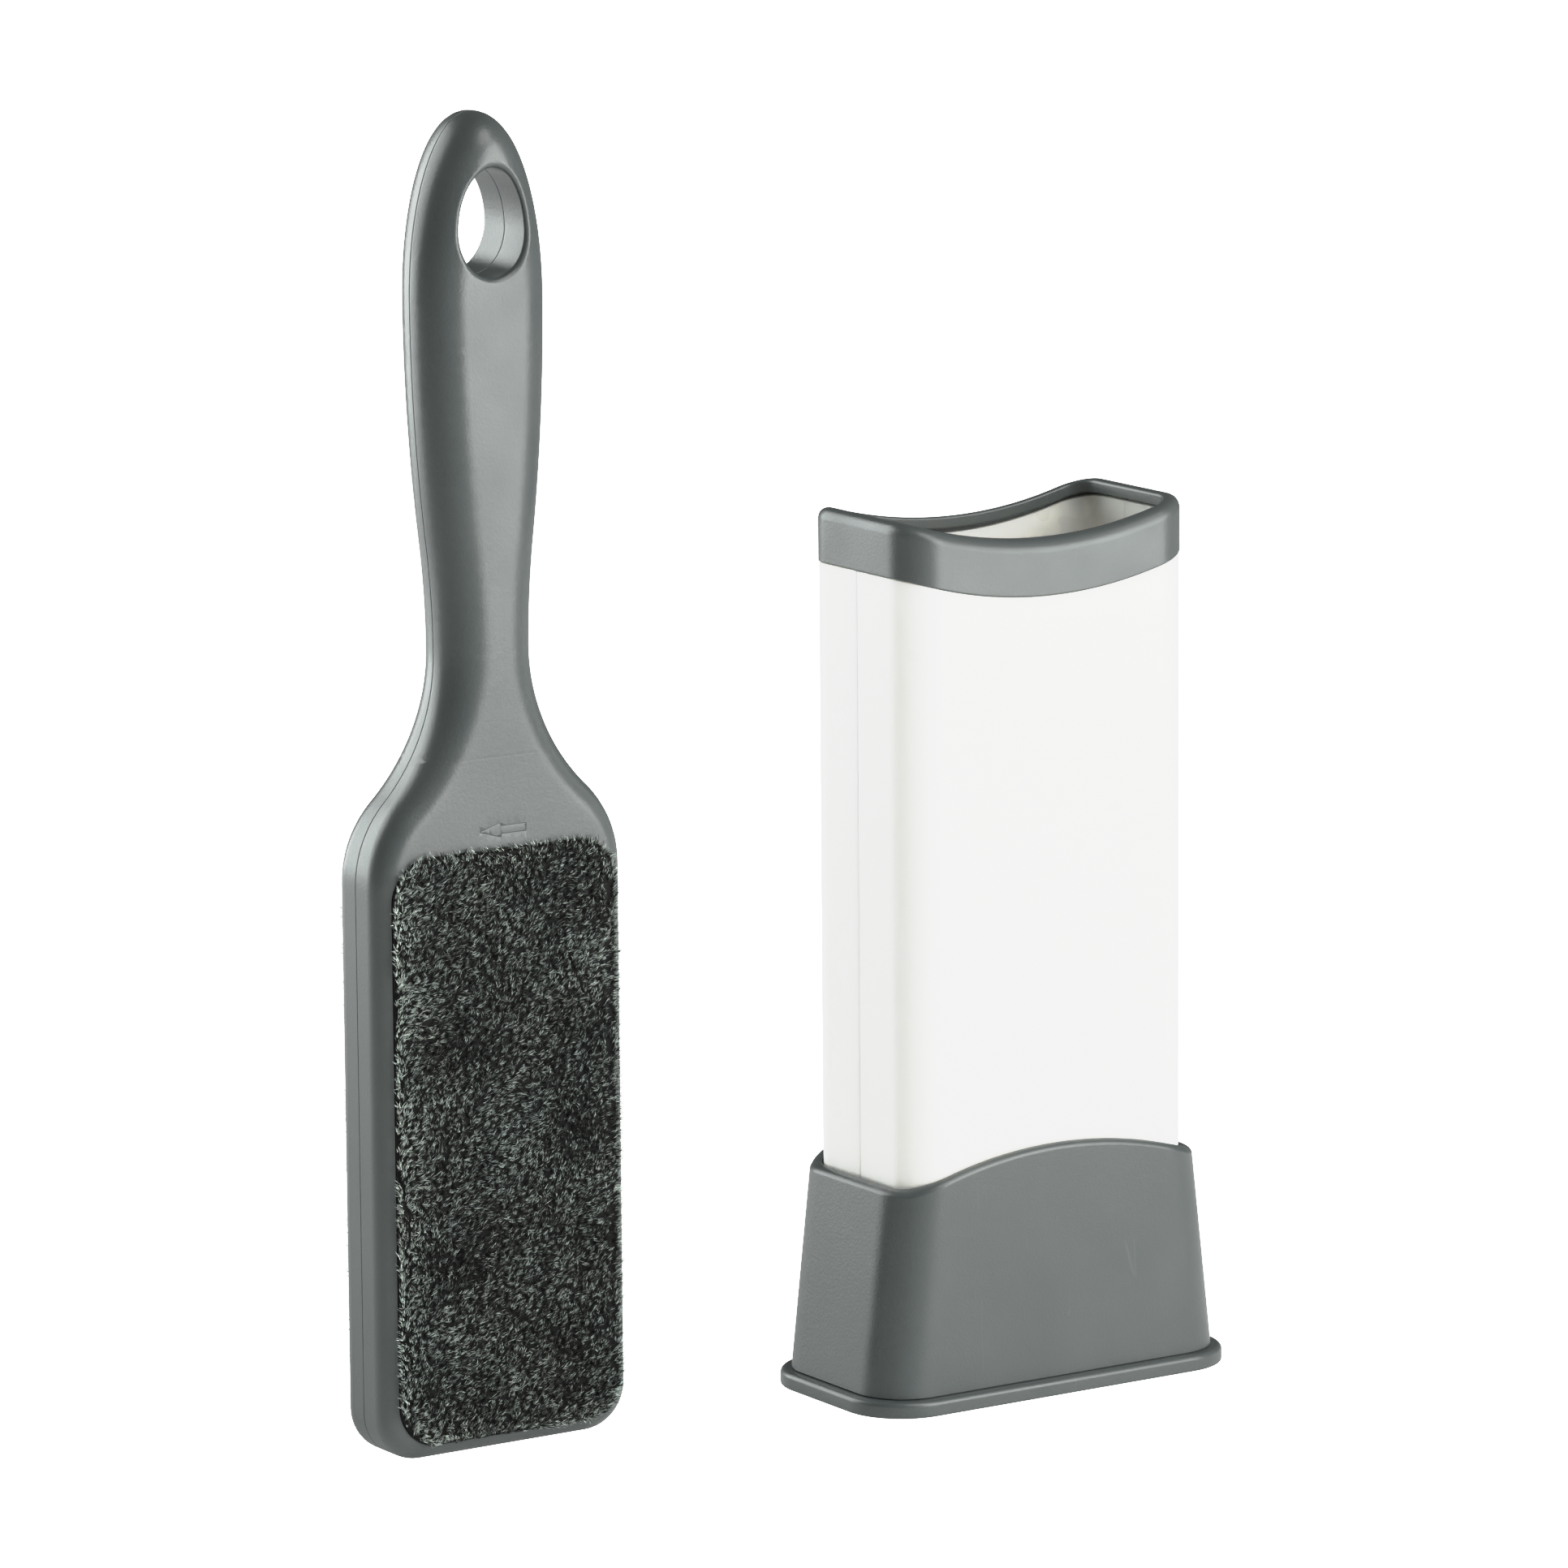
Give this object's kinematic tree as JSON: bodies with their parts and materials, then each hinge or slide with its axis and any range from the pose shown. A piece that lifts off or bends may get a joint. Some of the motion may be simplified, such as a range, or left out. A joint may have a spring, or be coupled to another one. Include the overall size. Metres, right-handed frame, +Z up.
{
  "type": "lint brush with self-cleaning dock",
  "caption": "Flat two-sided velour lint brush with a long handle and hanging hole, beside an upright sleeve dock that cleans it and catches the lint.",
  "frame": {"origin": "centre of the dock's underside, on the surface that dock and brush stand on", "axes": "+Z up, +X along the dock's broad face to the right as seen from the front, -Y towards the front; the brush stands on the -X side"},
  "size_m": [0.224, 0.0569, 0.3159],
  "materials": {
    "grey_plastic": "satin, fine moulded grain",
    "white_plastic": "smooth satin gloss",
    "black_card": "matt",
    "velour": "directional pile, charcoal"
  },
  "bodies": {
    "foot": {"foot_skirt": "grey_plastic", "foot_floor": "grey_plastic"},
    "sleeve": {"sleeve_front_half": "white_plastic", "sleeve_back_half": "white_plastic", "sleeve_collar": "grey_plastic", "front_wiper_carrier": "white_plastic", "front_wiper_velour": "velour", "back_wiper_carrier": "white_plastic", "back_wiper_velour": "velour"},
    "brush": {"brush_front_shell": "grey_plastic", "brush_back_shell": "grey_plastic", "front_pad_card": "black_card", "front_pad_velour": "velour", "back_pad_card": "black_card", "back_pad_velour": "velour"}
  },
  "joints": [
    {"name": "sleeve_lift", "type": "slide", "parent": "foot", "child": "sleeve", "axis": [0, 0, 1], "range_m": [0, 0.08]},
    {"name": "brush_lift", "type": "slide", "parent": "foot", "child": "brush", "axis": [0, 0, 1], "range_m": [0, 0.24]}
  ]
}
